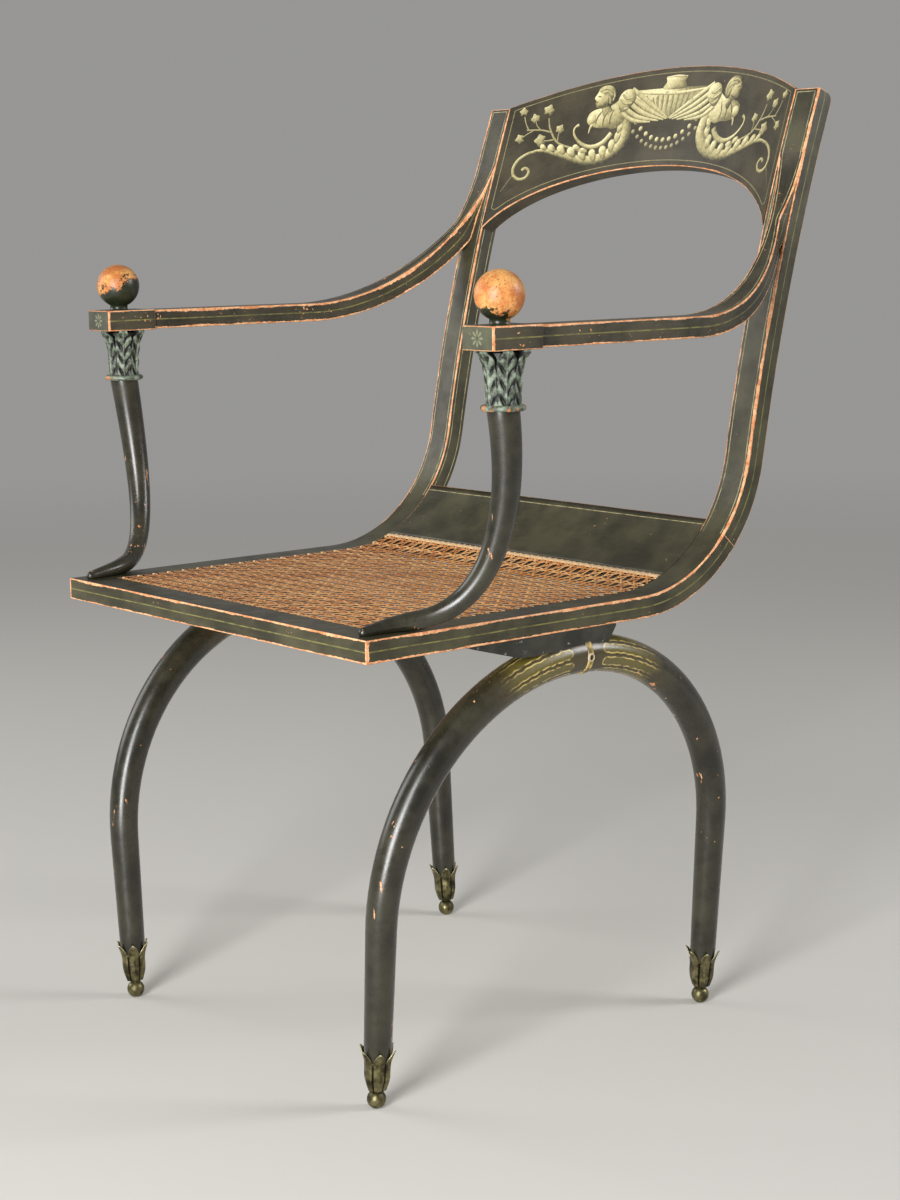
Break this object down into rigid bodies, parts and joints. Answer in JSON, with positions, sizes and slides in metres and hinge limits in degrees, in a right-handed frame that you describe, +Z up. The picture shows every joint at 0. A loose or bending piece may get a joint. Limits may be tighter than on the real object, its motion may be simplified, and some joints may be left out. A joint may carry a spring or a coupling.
{
  "type": "open armchair",
  "caption": "Painted open armchair with a caned seat, a painted arched crest, swept arms ending in balls over carved capitals, and horn-shaped leg arches on brass shoes",
  "frame": {"origin": "on the floor under the middle of the chair's overall box", "axes": "X across the chair to the right of a viewer in front of it, the sitter faces -Y, Z up"},
  "size_m": [0.6126, 0.6119, 0.902],
  "materials": {
    "painted_frame": "aged green-black satin paint with thin pale lines, worn to orange-brown wood at the edges",
    "painted_crest": "aged dark satin paint with ornament in pale cream tones",
    "painted_horn": "aged green-black paint, glossier, with small chips to orange-brown wood",
    "carved_capital": "carved wood under rubbed green-grey paint",
    "worn_ball": "turned wood, dark green paint worn back to bare orange-brown wood",
    "woven_cane": "split cane, warm tan with a slight sheen",
    "brass": "dull, darkened cast brass",
    "hidden_dowel": "plain turned hardwood"
  },
  "bodies": {
    "root": {"arch_collar_left": "painted_horn", "arch_collar_right": "painted_horn", "arch_dowels": "hidden_dowel", "arm_bar_left": "painted_frame", "arm_bar_right": "painted_frame", "arm_block_left": "painted_frame", "arm_block_right": "painted_frame", "arm_dowels": "hidden_dowel", "arm_elbow_left": "painted_frame", "arm_elbow_right": "painted_frame", "arm_support_left": "painted_horn", "arm_support_right": "painted_horn", "back_seat_board": "painted_frame", "back_stile_left": "painted_frame", "back_stile_right": "painted_frame", "ball_finial_left": "worn_ball", "ball_finial_right": "worn_ball", "ball_foot_back_left": "brass", "ball_foot_back_right": "brass", "ball_foot_front_left": "brass", "ball_foot_front_right": "brass", "cane_seat": "woven_cane", "capital_left": "carved_capital", "capital_right": "carved_capital", "crest_dowels": "hidden_dowel", "crest_panel": "painted_crest", "frame_dowels": "hidden_dowel", "front_seat_rail": "painted_frame", "leaf_shoe_back_left": "brass", "leaf_shoe_back_right": "brass", "leaf_shoe_front_left": "brass", "leaf_shoe_front_right": "brass", "leg_horn_back_left": "painted_horn", "leg_horn_back_right": "painted_horn", "leg_horn_front_left": "painted_horn", "leg_horn_front_right": "painted_horn", "saddle_block_left": "painted_frame", "saddle_block_right": "painted_frame", "seat_side_rail_left": "painted_frame", "seat_side_rail_right": "painted_frame"}
  },
  "joints": []
}
